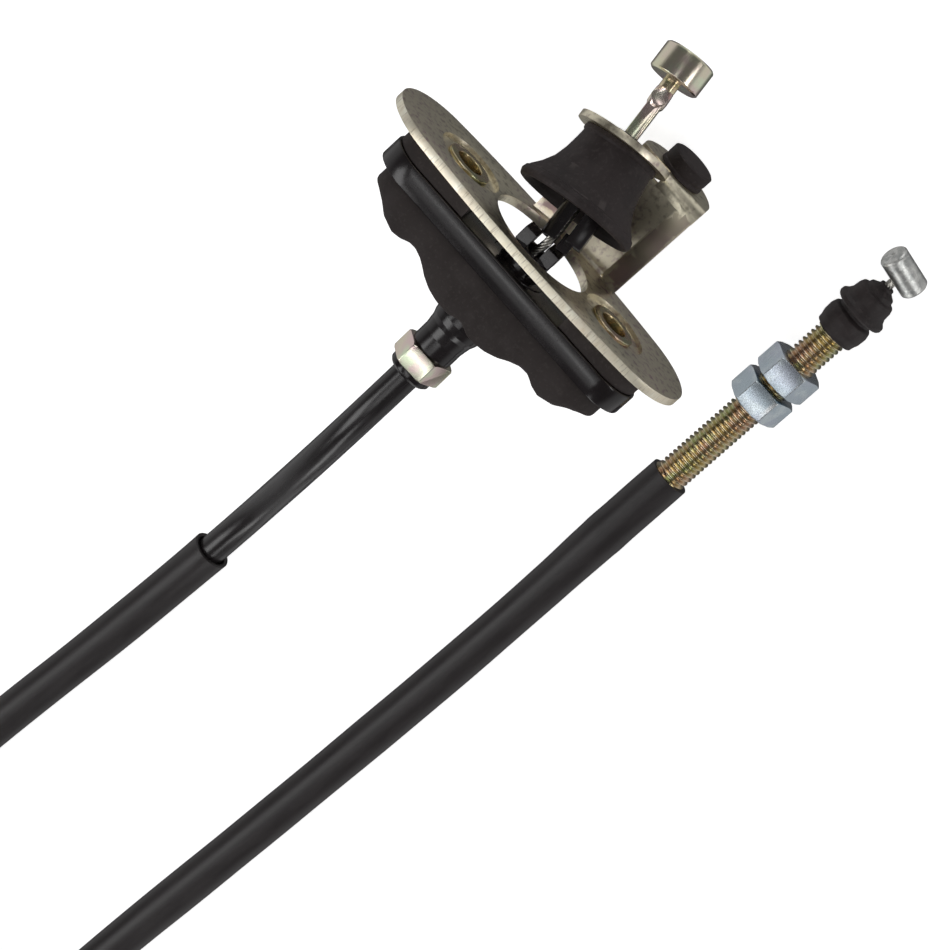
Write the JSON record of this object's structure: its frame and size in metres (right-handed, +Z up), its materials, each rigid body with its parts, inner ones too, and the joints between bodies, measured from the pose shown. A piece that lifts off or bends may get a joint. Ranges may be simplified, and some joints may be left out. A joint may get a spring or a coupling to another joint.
{
  "type": "clutch cable",
  "caption": "Sheathed control cable with a firewall flange, rubber boot and pull rod at the pedal end and a threaded adjuster with nuts and a nipple at the engine end.",
  "frame": {"origin": "centre of the flange's two bolt holes, on the flange's pedal-side face", "axes": "+X is the flange's normal towards the pedal, +Y runs along the flange through the bolt holes, +Z is up, away from the arm and the surface the cable lies on"},
  "size_m": [0.382, 0.1211, 0.0488],
  "materials": {
    "zinc_plate": "yellow zinc plated, satin",
    "olive_metal": "yellow zinc plated, half gloss",
    "blue_zinc": "blue zinc plated, bright",
    "cast_zinc": "as cast, mottled",
    "steel_rope": "stranded wire, bright",
    "black_rubber": "moulded, matte",
    "black_plastic": "moulded, half gloss",
    "black_sheath": "extruded, gloss",
    "sleeve_tube": "extruded, satin"
  },
  "bodies": {
    "cable": {"firewall_bracket": "zinc_plate", "weld_nuts": "zinc_plate", "bump_stop": "black_rubber", "seal_pad": "black_rubber", "seal_carrier": "black_plastic", "dome_seal": "black_rubber", "end_fitting": "black_plastic", "castle_bush": "black_plastic", "end_nut": "olive_metal", "conduit_collar": "black_plastic", "boot": "black_rubber", "boot_clip": "black_plastic", "guide_tube": "black_plastic", "pedal_rope": "steel_rope", "conduit_stub_pedal": "black_sheath", "liner_pedal": "black_plastic", "adjuster_screw": "olive_metal", "adjuster_ferrule": "olive_metal", "sleeve_end": "black_rubber", "conduit_stub_engine": "black_sheath", "liner_engine": "black_plastic", "dust_boot": "black_rubber", "conduit": "black_sheath", "sleeve_pedal_run": "sleeve_tube", "sleeve_engine_run": "sleeve_tube", "sleeve_coil": "sleeve_tube"},
    "pedal_core": {"pull_rod": "olive_metal", "rod_neck": "olive_metal", "pedal_barrel": "olive_metal"},
    "engine_core": {"engine_rope": "steel_rope", "engine_nipple": "cast_zinc"},
    "adjusting_nut": {"adjusting_nut": "blue_zinc"},
    "lock_nut": {"lock_nut": "blue_zinc"}
  },
  "joints": [
    {"name": "pedal_core_slide", "type": "slide", "parent": "cable", "child": "pedal_core", "axis": [-0.9138, -0.1927, 0.3575], "range_m": [0, 0.013]},
    {"name": "engine_core_slide", "type": "slide", "parent": "cable", "child": "engine_core", "axis": [1, 0, 0], "range_m": [0, 0.013]},
    {"name": "adjusting_nut_slide", "type": "slide", "parent": "cable", "child": "adjusting_nut", "axis": [1, 0, 0], "range_m": [0, 0.009]},
    {"name": "lock_nut_slide", "type": "slide", "parent": "cable", "child": "lock_nut", "axis": [1, 0, 0], "range_m": [-0.022, 0]}
  ],
  "couplings": [
    {"joint": "engine_core_slide", "follows": "pedal_core_slide", "ratio": 1}
  ]
}
